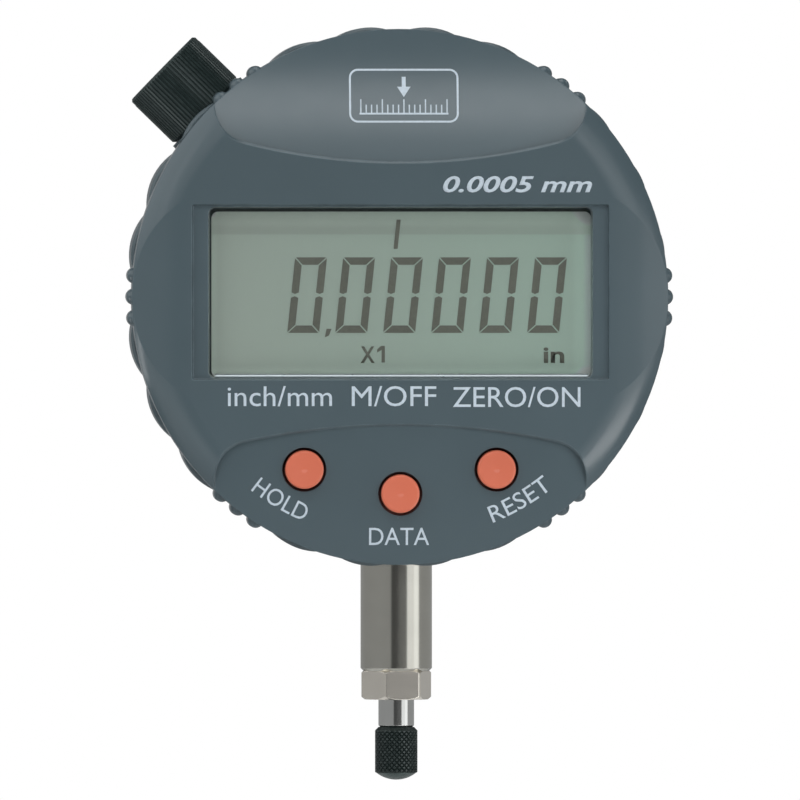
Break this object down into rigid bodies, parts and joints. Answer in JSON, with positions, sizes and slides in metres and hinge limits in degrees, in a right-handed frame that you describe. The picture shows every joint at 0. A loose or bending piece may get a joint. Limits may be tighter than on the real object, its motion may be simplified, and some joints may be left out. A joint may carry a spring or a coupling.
{
  "type": "digital dial indicator",
  "caption": "Round digital dial indicator: ribbed head with display and push buttons that turns on a scalloped case, clamping stem, sprung spindle with a knurled contact, and a screw cap.",
  "frame": {"origin": "on the stem's axis, halfway along the length of stem that a holder clamps", "axes": "+Z along the stem towards the dial, away from the contact; the display faces -Y; +X to the right as the display is read"},
  "size_m": [0.061, 0.027, 0.0841],
  "materials": {
    "housing_plastic": "satin",
    "bezel_plastic": "semi-gloss",
    "cap_plastic": "satin",
    "button_plastic": "semi-gloss",
    "inner_plastic": "matte",
    "stem_steel": "ground",
    "spindle_steel": "polished",
    "contact_steel": "blackened",
    "tip_carbide": "lapped",
    "screw_steel": "zinc plated",
    "spring_steel": "drawn",
    "bush_bronze": "sintered",
    "gold_contact": "plated",
    "carrier_aluminium": "machined",
    "clear_window": "polished",
    "display_glass": "satin",
    "scale_glass": "polished",
    "seal_rubber": "matte",
    "board_green": "solder mask",
    "ribbon_film": "polyimide",
    "cell_steel": "nickel plated"
  },
  "bodies": {
    "housing": {"rear_housing": "housing_plastic", "back_cover": "housing_plastic", "back_cover_gasket": "seal_rubber", "back_cover_screws": "screw_steel", "friction_ring": "seal_rubber", "stem": "stem_steel", "stem_nut": "stem_steel", "spindle_seal": "seal_rubber", "lower_guide_bush": "bush_bronze", "upper_guide_bush": "bush_bronze", "guide_plate": "spring_steel", "guide_plate_screws": "screw_steel", "stop_bumper": "seal_rubber", "return_spring": "spring_steel", "sensor_board": "board_green", "sensor_board_screws": "screw_steel", "sensor_components": "inner_plastic", "reading_head": "inner_plastic", "flex_cable": "ribbon_film", "data_port": "inner_plastic", "data_port_contacts": "gold_contact", "battery_contact": "gold_contact"},
    "head": {"front_bezel": "bezel_plastic", "head_base": "inner_plastic", "head_screws": "screw_steel", "head_retaining_ring": "spring_steel", "head_stop_pin": "spring_steel", "window": "clear_window", "lcd_glass": "display_glass", "lcd_frame": "inner_plastic", "zebra_strips": "seal_rubber", "main_board": "board_green", "board_components": "inner_plastic", "tactile_switches": "inner_plastic", "button_seals": "seal_rubber"},
    "hold_button": {"button_hold": "button_plastic"},
    "data_button": {"button_data": "button_plastic"},
    "reset_button": {"button_reset": "button_plastic"},
    "spindle": {"spindle": "spindle_steel", "contact_point": "contact_steel", "contact_tip": "tip_carbide", "stop_collar": "spring_steel", "anti_rotation_pin": "spring_steel", "scale_carrier": "carrier_aluminium", "glass_scale": "scale_glass"},
    "battery_carrier": {"battery_cells": "cell_steel", "battery_spring": "spring_steel"},
    "battery_cap": {"battery_cap": "cap_plastic", "battery_cap_seal": "seal_rubber"}
  },
  "joints": [
    {"name": "head_turn", "type": "hinge", "parent": "housing", "child": "head", "pos_m": [0, -0.0066, 0.03575], "axis": [0, 1, 0], "range_deg": [-135, 135], "deforming": ["flex_cable"]},
    {"name": "hold_press", "type": "slide", "parent": "head", "child": "hold_button", "axis": [0, 1, 0], "range_m": [0, 0.0007], "stiffness_N_per_m": 400, "springref_m": -0.002},
    {"name": "data_press", "type": "slide", "parent": "head", "child": "data_button", "axis": [0, 1, 0], "range_m": [0, 0.0007], "stiffness_N_per_m": 400, "springref_m": -0.002},
    {"name": "reset_press", "type": "slide", "parent": "head", "child": "reset_button", "axis": [0, 1, 0], "range_m": [0, 0.0007], "stiffness_N_per_m": 400, "springref_m": -0.002},
    {"name": "spindle_slide", "type": "slide", "parent": "housing", "child": "spindle", "axis": [0, 0, 1], "range_m": [0, 0.003], "stiffness_N_per_m": 60, "springref_m": -0.012, "deforming": ["return_spring"]},
    {"name": "battery_cap_slide", "type": "slide", "parent": "housing", "child": "battery_carrier", "axis": [-0.7163, 0, 0.6978], "range_m": [0, 0.00375]},
    {"name": "battery_cap_turn", "type": "hinge", "parent": "battery_carrier", "child": "battery_cap", "pos_m": [-0.02364, 0.0008, 0.05878], "axis": [-0.7163, 0, 0.6978], "range_deg": [0, 1800]}
  ],
  "couplings": [
    {"joint": "battery_cap_turn", "follows": "battery_cap_slide", "rad_per_m": 8377.6}
  ]
}
